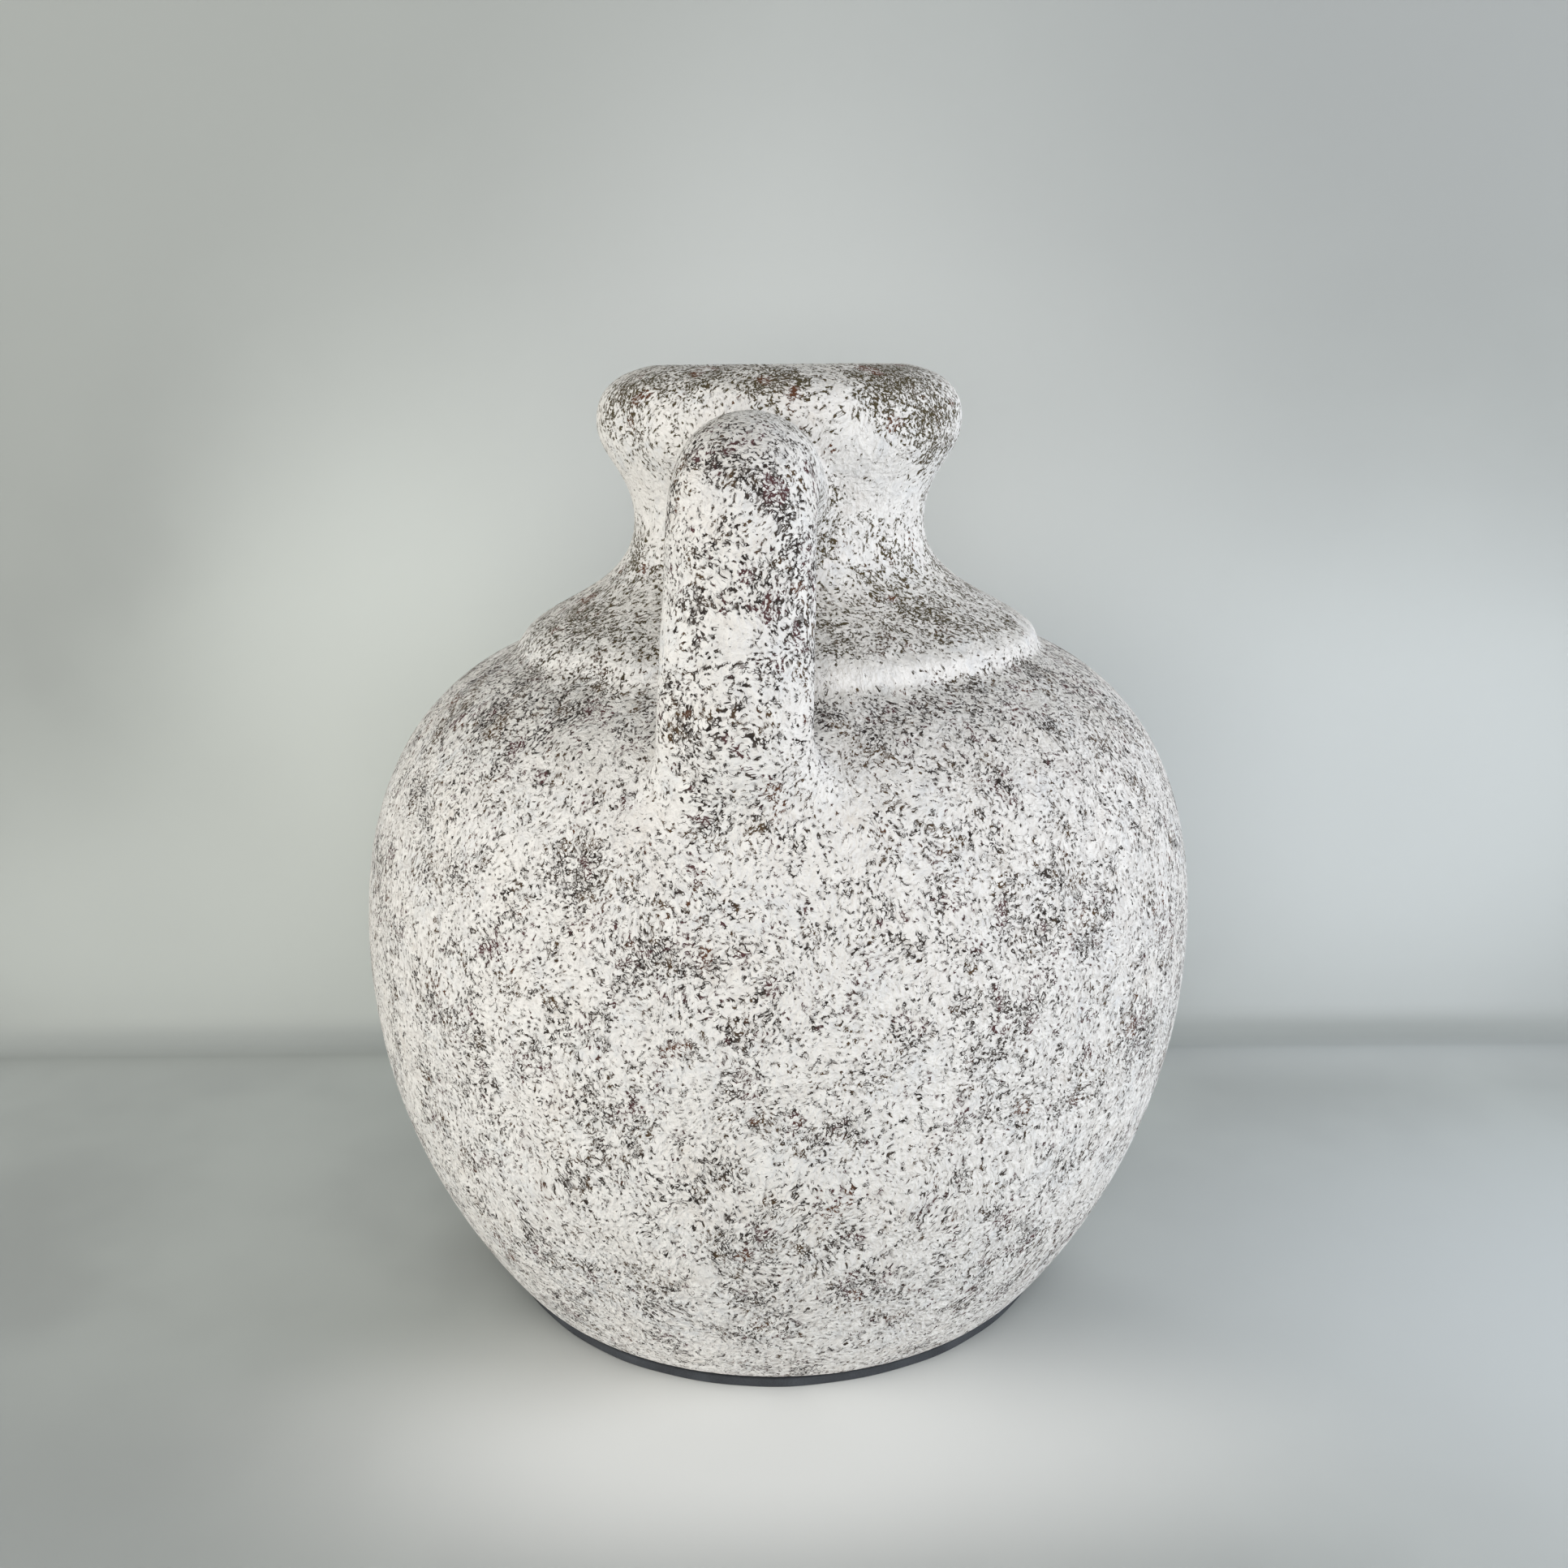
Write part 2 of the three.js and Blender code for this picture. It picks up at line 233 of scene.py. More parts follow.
# The whole section of the pot as one softened line: from the foot's middle up, over the lip and down
def potSection():
    shape = potShape
    outside = potOutside()
    lower = outside["lowerBelly"]
    rough = np.vstack([
        [(0, footZ), (shape["footRadius"] - shape["footRound"], footZ)],
        lower[lower[:, 1] > footZ + shape["footRound"] / 2],
        outside["upperBelly"][1:],
        outside["shoulder"],
        outside["flare"][1:],
        outside["roll"][1:],
        potInside(outside),
    ])
    line = softened(spaced(rough, shape["linePitch"]), shape["linePitch"], shape["softness"])
    line[:, 1] = np.clip(line[:, 1], footZ, topZ)
    return line


section = potSection()
wornSection = softened(section, potShape["linePitch"], potShape["wornSoftness"])
fromStep = np.hypot(section[:, 0] - potShape["stepRadius"], section[:, 1] - stepZ)
wornShare = np.clip(1 - fromStep / potShape["wornReach"], 0, 1)
wornShift = (wornSection - section) * smoothstep(0, 0.6, wornShare)[:, None]
sectionRun = runLengths(section)
along = lineSlopes(section)
sectionOutward = np.column_stack([along[:, 1], -along[:, 0]])
lipRun = sectionRun[section[:, 1].argmax()]


# Length along the section at which it passes a height, outside going up or inside coming down
def runAtHeight(z, goingUp):
    part = sectionRun <= lipRun if goingUp else sectionRun > lipRun
    heights, runs = section[part][:, 1], sectionRun[part]
    return float(np.interp(z, heights, runs) if goingUp else np.interp(-z, -heights, runs))


seams = {
    "stepOutside": runAtHeight(stepZ, True),
    "rimOutside": runAtHeight(rimJoinZ, True),
    "rimInside": runAtHeight(rimJoinZ, False),
    "stepInside": runAtHeight(stepZ, False),
}


# Stops along the section, close together near the seams
def stops(start, end, step):
    places = [start]
    while places[-1] < end:
        nearest = min(abs(places[-1] - seam) for seam in seams.values())
        share = min(nearest / potMesh["seamReach"], 1)
        places.append(places[-1] + potMesh["seamStep"] + (step - potMesh["seamStep"]) * share)
    return np.array(places[:-1] + [end])


def storeOnPoints(mesh, label, values):
    values = np.asarray(values, np.float32)
    kind, field = ("FLOAT_VECTOR", "vector") if values.ndim == 2 else ("FLOAT", "value")
    mesh.attributes.new(label, kind, "POINT").data.foreach_set(field, values.ravel())


# Outline of one turned piece as a string of points that carry which way is out and how much wash they have
def outlineMesh(name, runs):
    points = pointsAt(section, sectionRun, runs)
    outward = pointsAt(sectionOutward, sectionRun, runs)
    worn = pointsAt(wornShift, sectionRun, runs) * mm
    depth = np.where(runs > lipRun, topZ - points[:, 1], 0)
    mesh = bpy.data.meshes.new(name)
    edges = [(i, i + 1) for i in range(len(points) - 1)]
    mesh.from_pydata([(r * mm, 0, z * mm) for r, z in points], edges, [])
    for label, vectors in (("outward", outward), ("worn", worn)):
        storeOnPoints(mesh, label, np.column_stack([vectors[:, 0], 0 * vectors[:, 0], vectors[:, 1]]))
    flat = (points[:, 1] <= footZ + 0.01) | (points[:, 0] < 1)
    storeOnPoints(mesh, "relief", np.where(flat, 0, 1))
    storeOnPoints(mesh, "wash", np.clip(1 - (depth - potShape["washDepth"]) / potShape["washFade"], 0, 1))
    return mesh


# Adds a node with its settings, and sets or links its inputs by name or index. A node given as an input
# stands for its first output.
def addNode(tree, kind, inputs=(), **settings):
    node = tree.nodes.new(kind)
    for name, value in settings.items():
        setattr(node, name, value)
    for key, value in (inputs.items() if isinstance(inputs, dict) else enumerate(inputs)):
        if isinstance(value, bpy.types.Node):
            value = next(socket for socket in value.outputs if socket.enabled)
        if isinstance(value, bpy.types.NodeSocket):
            tree.links.new(value, node.inputs[key])
        else:
            node.inputs[key].default_value = value
    return node


def newGeometryTree(name, sockets):
    tree = bpy.data.node_groups.new(name, "GeometryNodeTree")
    tree.interface.new_socket("Geometry", in_out="OUTPUT", socket_type="NodeSocketGeometry")
    tree.interface.new_socket("Geometry", in_out="INPUT", socket_type="NodeSocketGeometry")
    for label, kind in sockets.items():
        tree.interface.new_socket(label, in_out="INPUT", socket_type="NodeSocket" + kind)
    return tree


reliefSockets = {label: "Float" for label in clayRelief}
smooth = {"interpolation_type": "SMOOTHSTEP"}


# Height of the clay's unevenness at each point, never above zero so that the pot stays in its size
def addReliefHeight(tree, given, places):
    height = 0.0
    for seed, kind in enumerate(("Swell", "Grit")):
        scale = addNode(tree, "ShaderNodeMath", [1.0, given[kind + " Size"]], operation="DIVIDE")
        noise = addNode(tree, "ShaderNodeTexNoise", {
            "Vector": places, "W": 3.0 + seed, "Scale": scale, "Detail": 1.0 + seed}, noise_dimensions="4D")
        low = addNode(tree, "ShaderNodeMath", [noise, 0.78], operation="SUBTRACT")
        height = addNode(tree, "ShaderNodeMath", [low, given[kind + " Height"], height],
                         operation="MULTIPLY_ADD")
    return addNode(tree, "ShaderNodeMath", [height, 0.0], operation="MINIMUM")


def endClayTree(tree, shaped, clay):
    real = addNode(tree, "GeometryNodeRealizeInstances", [shaped])
    covered = addNode(tree, "GeometryNodeSetMaterial", {"Geometry": real, "Material": clay})
    addNode(tree, "NodeGroupOutput", [covered])
    return tree


# Turns an outline about the upright axis, roughens it and leans it
def turnedClayTree():
    tree = newGeometryTree("turnedClay", {
        "Around": "Int", "Lean": "Float", "Worn From": "Float", **reliefSockets, "Clay": "Material"})
    given = addNode(tree, "NodeGroupInput").outputs
    outline = given["Geometry"]
    rows = addNode(tree, "GeometryNodeAttributeDomainSize", [outline], component="MESH")
    rows = rows.outputs["Point Count"]
    columns = addNode(tree, "FunctionNodeIntegerMath", [given["Around"], 1], operation="ADD")
    grid = addNode(tree, "GeometryNodeMeshGrid", {"Vertices X": rows, "Vertices Y": columns})
    index = addNode(tree, "GeometryNodeInputIndex")
    row = addNode(tree, "FunctionNodeIntegerMath", [index, columns], operation="DIVIDE_FLOOR")
    column = addNode(tree, "FunctionNodeIntegerMath", [index, columns], operation="MODULO")
    share = addNode(tree, "ShaderNodeMath", [column, given["Around"]], operation="DIVIDE")
    angle = addNode(tree, "ShaderNodeMath", [share, 2 * math.pi], operation="MULTIPLY")

    # What the outline carries at each row, turned round to each column
    carried = {"place": "FLOAT_VECTOR", "worn": "FLOAT_VECTOR", "outward": "FLOAT_VECTOR",
               "relief": "FLOAT", "wash": "FLOAT"}
    for name, kind in carried.items():
        if name == "place":
            field = addNode(tree, "GeometryNodeInputPosition")
        else:
            field = addNode(tree, "GeometryNodeInputNamedAttribute", {"Name": name}, data_type=kind)
        value = addNode(tree, "GeometryNodeSampleIndex", {"Geometry": outline, "Value": field, "Index": row},
                        data_type=kind, domain="POINT")
        if kind == "FLOAT_VECTOR":
            value = addNode(tree, "ShaderNodeVectorRotate", {"Vector": value, "Angle": angle},
                            rotation_type="Z_AXIS")
        carried[name] = value

    fromWorn = addNode(tree, "ShaderNodeMath", [angle, given["Worn From"]], operation="SUBTRACT")
    facing = addNode(tree, "ShaderNodeMath", [fromWorn], operation="COSINE")
    howWorn = addNode(tree, "ShaderNodeMapRange", [facing, -1.0, 0.45], **smooth)
    worn = addNode(tree, "ShaderNodeVectorMath", {0: carried["worn"], "Scale": howWorn}, operation="SCALE")
    place = addNode(tree, "ShaderNodeVectorMath", [carried["place"], worn], operation="ADD")
    height = addNode(tree, "ShaderNodeMath", [addReliefHeight(tree, given, place), carried["relief"]],
                     operation="MULTIPLY")
    moved = addNode(tree, "ShaderNodeVectorMath", {0: carried["outward"], "Scale": height}, operation="SCALE")
    place = addNode(tree, "ShaderNodeVectorMath", [place, moved], operation="ADD")
    x, y, z = addNode(tree, "ShaderNodeSeparateXYZ", [place]).outputs
    drift = addNode(tree, "ShaderNodeMath", [z, given["Lean"], x], operation="MULTIPLY_ADD")
    leaning = addNode(tree, "ShaderNodeCombineXYZ", [drift, y, z])
    washed = addNode(tree, "GeometryNodeStoreNamedAttribute", {
        "Geometry": grid, "Name": "wash", "Value": carried["wash"]}, data_type="FLOAT", domain="POINT")
    shaped = addNode(tree, "GeometryNodeSetPosition", {"Geometry": washed, "Position": leaning})
    closed = addNode(tree, "GeometryNodeMergeByDistance", {"Geometry": shaped, "Distance": 0.01 * mm})
    return endClayTree(tree, closed, given["Clay"])


# Roughens a mesh along its own normals, with the same unevenness as the turned pieces
def roughClayTree():
    tree = newGeometryTree("roughClay", {**reliefSockets, "Clay": "Material"})
    given = addNode(tree, "NodeGroupInput").outputs
    height = addReliefHeight(tree, given, addNode(tree, "GeometryNodeInputPosition"))
    normal = addNode(tree, "GeometryNodeInputNormal")
    moved = addNode(tree, "ShaderNodeVectorMath", {0: normal, "Scale": height}, operation="SCALE")
    shaped = addNode(tree, "GeometryNodeSetPosition", {"Geometry": given["Geometry"], "Offset": moved})
    return endClayTree(tree, shaped, given["Clay"])


def newObject(name, data):
    made = bpy.data.objects.new(name, data)
    bpy.context.collection.objects.link(made)
    return made


# Adds a mesh as an object, with smooth faces that point out
def newPiece(name, mesh, sharpAngle):
    if signedVolume(mesh) < 0:
        mesh.flip_normals()
    mesh.shade_smooth()
    mesh.set_sharp_from_angle(angle=math.radians(sharpAngle))
    print("made", name, len(mesh.polygons), "faces")
    return newObject(name, mesh)


# Runs a tree on a mesh and keeps the result as a plain object
def grown(name, mesh, tree, values):
    maker = newObject(name + "Maker", mesh)
    modifier = maker.modifiers.new("grow", "NODES")
    modifier.node_group = tree
    for item in tree.interface.items_tree:
        if item.in_out == "INPUT" and item.name in values:
            modifier[item.identifier] = values[item.name]
    result = bpy.data.meshes.new_from_object(maker.evaluated_get(bpy.context.evaluated_depsgraph_get()))
    bpy.data.objects.remove(maker)
    result.name = name
    return newPiece(name, result, potMesh["sharpAngle"])


def signedVolume(mesh):
    mesh.calc_loop_triangles()
    corners = np.empty(len(mesh.vertices) * 3, np.float32)
    mesh.vertices.foreach_get("co", corners)
    corners = corners.reshape(-1, 3)
    triangles = np.empty(len(mesh.loop_triangles) * 3, np.int32)
    mesh.loop_triangles.foreach_get("vertices", triangles)
    a, b, c = (corners[triangles.reshape(-1, 3)[:, i]] for i in range(3))
    return float(np.einsum("ij,ij->i", a, np.cross(b, c)).sum() / 6)


reliefValues = {label: size * mm for label, size in clayRelief.items()}


# Adds a turned clay piece from its stops along the section
def turnedPiece(name, runs, tree, clay):
    return grown(name, outlineMesh(name + "Outline", runs), tree, {
        "Around": potMesh["around"], "Lean": potShape["lean"],
        "Worn From": math.radians(potShape["wornFrom"]), "Clay": clay, **reliefValues})


def makePot(clay):
    tree = turnedClayTree()
    end = sectionRun[-1]
    neckStep, bellyStep, insideStep = potMesh["neckStep"], potMesh["bellyStep"], potMesh["insideStep"]
    body = turnedPiece("lowerBody", np.concatenate([
        stops(0, seams["stepOutside"], bellyStep), stops(seams["stepInside"], end, insideStep)]), tree, clay)
    neck = turnedPiece("shoulderNeck", np.concatenate([
        stops(seams["stepOutside"], seams["rimOutside"], neckStep),
        stops(seams["rimInside"], seams["stepInside"], insideStep),
        [seams["stepOutside"]]]), tree, clay)
    rim = turnedPiece("rimRoll", np.concatenate([
        stops(seams["rimOutside"], lipRun, neckStep), stops(lipRun, seams["rimInside"], neckStep)[1:],
        [seams["rimOutside"]]]), tree, clay)
    return {"lower_body": body, "shoulder_neck": neck, "rim_roll": rim}


# The handle: a domed strap luted on at the neck and on the belly, in mm
handleShape = {
    "springWidth": 52.5,
    "landingWidth": 58,
    "innerDepth": 16,
    "neckDome": 15,
    "crownDome": 25.5,
    "bellyDome": 16,
    "crownShare": 0.38,
    "springHeight": 12,
    "springPull": 35,
    "springSlope": 26,
    "reach": 68,
    "gripAboveStep": 51,
    "crownPull": 34,
    "gripPull": 24,
    "gripLean": 7,
    "landingBelowStep": 21,
    "landingPull": 26,
    "landingLean": 17,
    "neckFillet": 6,
    "bellyFillet": 12.5,
    "filletUneven": 0.25,  # share by which the smeared root comes and goes round the handle
    "filletWaves": ((0.6, 3, 1), (0.4, 7, 0)),
    "rootEdge": 0.05,
    "rootSink": 2.2,
    "rootRun": 35,
    "sides": 112,
    "rings": 130,
    "filletRings": 14,
}


# The pot's outside from the widest line up, as the line that the handle's roots run into
outerLine = section[(sectionRun < lipRun) & (section[:, 0] > 40)]
wallSpans = np.diff(outerLine, axis=0)
wallLengths = (wallSpans**2).sum(axis=1)


# Distance of points from the turned outside, negative within it, and the way straight off it
def wallAt(points):
    here = np.column_stack([np.hypot(points[:, 0], points[:, 1]), points[:, 2]])
    away = here[:, None, :] - outerLine[None, :-1]
    share = np.clip((away * wallSpans).sum(axis=2) / wallLengths, 0, 1)
    away -= share[:, :, None] * wallSpans
    nearest = (away**2).sum(axis=2).argmin(axis=1)
    away = away[np.arange(len(points)), nearest]
    span = wallSpans[nearest] / np.sqrt(wallLengths[nearest])[:, None]
    off = np.column_stack([span[:, 1], -span[:, 0]])
    distance = (away * off).sum(axis=1)
    spin = points[:, :2] / here[:, :1]
    return distance, np.column_stack([spin * off[:, :1], off[:, 1]])


# Clay smeared out at a root: points close to the wall slide along it, on a parabola that touches both
def smeared(points, outwards, size):
    distance, off = wallAt(points)
    slide = (np.sqrt(size) - np.sqrt(np.clip(distance, 0, size))) ** 2
    across = outwards - (outwards * off).sum(axis=1)[:, None] * off
    across /= np.linalg.norm(across, axis=1)[:, None]
    moved = points + across * slide[:, None]
    there, offThere = wallAt(moved)
    return np.where((distance < size)[:, None], moved + offThere * (distance - there)[:, None], points)


# Centre line of the handle in the plane through the axis, as (distance from the axis, height)
def handleLine():
    shape = handleShape

    def step(start, degrees, length):
        return np.array(start) + heading(degrees) * length

    rising = outerLine[outerLine[:, 1] > widestZ]
    springZ = waistZ + shape["springHeight"]
    landingZ = stepZ - shape["landingBelowStep"]
    spring = (np.interp(springZ, rising[:, 1], rising[:, 0]), springZ)
    landing = (np.interp(landingZ, rising[:, 1], rising[:, 0]), landingZ)
    grip = (potShape["waistRadius"] + shape["reach"], stepZ + shape["gripAboveStep"])
    gripDown = shape["gripLean"] - 90
    landingDown = -90 - shape["landingLean"]
    line = np.vstack([
        [step(spring, shape["springSlope"], -shape["rootRun"])],
        bezierPoints((spring, step(spring, shape["springSlope"], shape["springPull"]),
                      step(grip, gripDown, -shape["crownPull"]), grip), 120),
        bezierPoints((grip, step(grip, gripDown, shape["gripPull"]),
                      step(landing, landingDown, -shape["landingPull"]), landing), 120)[1:],
        [step(landing, landingDown, shape["rootRun"])],
    ])
    return spaced(line, 0.5)


# One line of points along the handle at one angle of its section, with the way out of the clay
def handleColumn(line, slopes, shares, angle):
    shape = handleShape
    c, s = math.cos(angle), math.sin(angle)
    places = shares * (len(line) - 1)
    centre = pointsAt(line, np.arange(len(line)), places)
    slope = pointsAt(slopes, np.arange(len(line)), places)
    slope /= np.linalg.norm(slope, axis=1)[:, None]
    outer = np.column_stack([-slope[:, 1], slope[:, 0]])
    width = shape["springWidth"] + (shape["landingWidth"] - shape["springWidth"]) * shares**2
    neck, crown, belly = (shape[key] for key in ("neckDome", "crownDome", "bellyDome"))
    dome = np.where(
        shares < shape["crownShare"],
        neck + (crown - neck) * smoothstep(0, shape["crownShare"], shares),
        crown + (belly - crown) * smoothstep(shape["crownShare"], 1, shares))
    depth = dome if s > 0 else np.full_like(shares, shape["innerDepth"])
    plane = centre + outer * (s * depth)[:, None]
    points = np.column_stack([c * width / 2, -plane[:, 0], plane[:, 1]])
    outwards = np.column_stack([2 * c / width, -outer[:, 0] * s / depth, outer[:, 1] * s / depth])
    return points, outwards / np.linalg.norm(outwards, axis=1)[:, None]


# Shares of the handle's length from where a root's fillet starts down to the wall
def rootShares(shares, distance, size):
    last = 1 - math.sqrt(handleShape["rootEdge"] / size)
    wanted = size * (1 - last * np.linspace(0, 1, handleShape["filletRings"])) ** 2
    order = np.argsort(distance)
    return np.interp(wanted, distance[order], shares[order])


# Faces of a mesh made of columns of points that stand round in a ring
def ringFaces(columns, rows):
    return [(j * rows + i, (j + 1) % columns * rows + i, (j + 1) % columns * rows + i + 1, j * rows + i + 1)
            for j in range(columns) for i in range(rows - 1)]


def handleMesh():
    shape = handleShape
    line = handleLine()
    slopes = lineSlopes(line)
    search = np.linspace(0, 1, 400)
    columns = []
    for j in range(shape["sides"]):
        angle = 2 * math.pi * j / shape["sides"]
        uneven = 1 + shape["filletUneven"] * waves(angle, shape["filletWaves"])
        points, _ = handleColumn(line, slopes, search, angle)
        distance, _ = wallAt(points)
        clearest = int(distance.argmax())
        ends = []
        for part, size in ((slice(0, clearest + 1), shape["neckFillet"]),
                           (slice(clearest, None), shape["bellyFillet"])):
            size *= uneven
            shares = rootShares(search[part], distance[part], size)
            root, outwards = handleColumn(line, slopes, shares, angle)
            root = smeared(root, outwards, size)
            edge = root[-1] - wallAt(root[-1:])[1][0] * shape["rootSink"]
            ends.append((shares[0], np.vstack([root, edge])))
        (start, neck), (stop, foot) = ends
        grip, _ = handleColumn(line, slopes, np.linspace(start, stop, shape["rings"])[1:-1], angle)
        columns.append(np.vstack([neck[::-1], grip, foot]))
    columns = np.array(columns)
    sides, rings = columns.shape[:2]
    columns[:, :, 0] += potShape["lean"] * columns[:, :, 2]
    faces = ringFaces(sides, rings)
    faces.append([j * rings for j in range(sides)][::-1])
    faces.append([j * rings + rings - 1 for j in range(sides)])
    mesh = bpy.data.meshes.new("handleBlank")
    mesh.from_pydata((columns.reshape(-1, 3) * mm).tolist(), [], faces)
    storeOnPoints(mesh, "wash", np.ones(sides * rings))
    return mesh


def makeHandle(clay):
    return grown("strapHandle", handleMesh(), roughClayTree(), {"Clay": clay, **reliefValues})


# The foam pad: cut by hand, so its edge wanders a little, in mm
padShape = {
    "radius": 126,
    "edgeRound": 0.9,
    "wander": 0.9,  # how far the knife strayed inwards
    "waves": ((0.22, 5, 0.7), (0.16, 11, 2), (0.12, 23, 0)),
    "innerRing": 60,
    "sides": 240,
    "rings": 6,
    "sharpAngle": 50,
}


def makePad(foam):
    shape = padShape
    rounding = shape["edgeRound"]
    turn = [(shape["radius"] - rounding * (1 - math.cos(a)), rounding * (1 - math.sin(a)))
            for a in np.linspace(math.pi / 2, 0, shape["rings"])]
    under = [(0, 0), (shape["innerRing"], 0)] + turn
    profile = under + [(r, footZ - z) for r, z in reversed(under)]
    points = []
    for j in range(shape["sides"]):
        a = 2 * math.pi * j / shape["sides"]
        stray = shape["wander"] * (0.5 + waves(a, shape["waves"]))
        for r, z in profile:
            reach = r - stray if r > shape["innerRing"] else r
            points.append((reach * math.cos(a) * mm, reach * math.sin(a) * mm, z * mm))
    mesh = bpy.data.meshes.new("footPad")
    mesh.from_pydata(points, [], ringFaces(shape["sides"], len(profile)))
    merged = bmesh.new()
    merged.from_mesh(mesh)
    bmesh.ops.remove_doubles(merged, verts=merged.verts, dist=0.01 * mm)
    bmesh.ops.recalc_face_normals(merged, faces=merged.faces)
    merged.to_mesh(mesh)
    merged.free()
    mesh.materials.append(foam)
    return newPiece("footPad", mesh, shape["sharpAngle"])


# Linear colour from an sRGB hex value
def linear(hexColour):
    channels = [int(hexColour[i:i + 2], 16) / 255 for i in (1, 3, 5)]
    return [c / 12.92 if c <= 0.04045 else ((c + 0.055) / 1.055) ** 2.4 for c in channels] + [1]


# Chalky lime wash brushed over rough fired clay: dead matt and slightly crinkled, broken by short dark
# strokes and pits where the brown clay shows. Sizes in mm.
claySurface = {
    "washPale": "#f2f0ee",
    "washWarm": "#e6e1dc",
    "washCool": "#dfe1e4",
    # grey of thin wash and of painted shade in the hollows
    "thinWashAndHollowShade": "#928984",
    # palest wash at the strokes' edges, also a painted highlight on their rims
    "washEdgeAndHighlight": "#faf8f6",
    # grey of dust and of painted shade on faces that look up
    "dustAndUpShade": "#a3a096",
    "clayDark": "#2e2826",
    "clayGrey": "#504944",
    "clayBrown": "#574634",
    "clayPurple": "#573c3e",
    "clayOlive": "#514932",
    "rust": "#603f2d",
    "rawInside": "#453a32",
    "wideBend": 15,
    "bend": 3.2,
    "taller": 34,  # the strokes are drawn out upwards by this much over the lowest part
    "lowestPart": 130,
    "pitDepth": 0.3,
    "crinkleDepth": 1.5,
    "crinklesWhereRough": 1.6,  # times as deep
    "grainDepth": 0.12,
    "roughness": 0.92,
    "gloss": 0.25,
    "crowding": 0.29,  # how much of the surface the strokes take where nothing else is said
    "patchRange": (0.42, 0.7),
    "patchCrowding": (-0.1, 0.28),  # added to it in the open and in the crowded patches
    # painted shade: more strokes on faces that look up
    "upwardShadeCrowding": 0.1,
    "streakCrowding": 0.13,
    "wipedEdge": (110, 0, 293),  # the step's edge on the section
    "wipedReach": (9, 2.5),
    "wipedCrowding": -0.5,
    "widthFromFlecks": 1.15,
    "widthFromBreaks": 1.7,
    "broadest": 0.43,
    "boldBetween": (235, 300),  # the strokes grow bolder over these heights
    "boldest": 1.35,
}

# Noises of the clay's surface: seed, what each runs on, size in mm and detail. The grain is drawn coarser
# than the real 0.2 mm, so that it shows.
clayNoises = {
    "wideBend": (0, "places", 34, 1),
    "bend": (1, "places", 5, 1),
    "patches": (2, "places", 20, 2),
    "streaks": (3, "drawnDown", 4, 1),
    "strokes": (4, "bent", 1.35, 0.4),
    "fineStrokes": (5, "bent", 1.0, 0.4),
    "flecks": (7, "bent", 2.8, 1),
    "breaks": (8, "bent", 1.4, 0),
    "warmth": (9, "places", 19, 3),
    "thickness": (10, "bent", 5, 3),
    "crinkles": (11, "bent", 1.9, 2),
    "dustAndUpShade": (12, "bent", 7, 2),
    "clayShade": (13, "places", 3.2, 1),
    "clayHue": (14, "places", 9, 2),
    "rust": (15, "places", 13, 1),
    "grain": (16, "places", 0.6, 1),
}

# Kinds of stroke: how much of the width each takes, its least reach, its soft edge and how dark it is
strokeKinds = {
    "strokes": (0.19, -0.014, 0.012, 1.0),
    "fineStrokes": (0.16, 0.0, 0.015, 0.72),
}

# Colours laid over the warm wash and over the dark clay, each on what the ones before it gave: the field
# that each follows, and between which of its values the colour comes in
washLayers = {
    "washCool": ("warmth", 0.35, 0.65),
    "washPale": ("thickness", 0.3, 0.6),
    "thinWashAndHollowShade": ("veilAndHollowShade", 0.0, 1.0),
    "dustAndUpShade": ("dustAndUpShadeShare", 0.0, 1.0),
    "washEdgeAndHighlight": ("edge", 0.0, 1.6),
}
clayTints = {
    "clayGrey": ("clayShade", 0.4, 0.66),
    "clayBrown": ("clayHue", 0.54, 0.62),
    "clayPurple": ("clayHue", 0.44, 0.37),
    "clayOlive": ("onShoulder", 0.0, 1.2),
    "rust": ("rust", 0.63, 0.7),
}

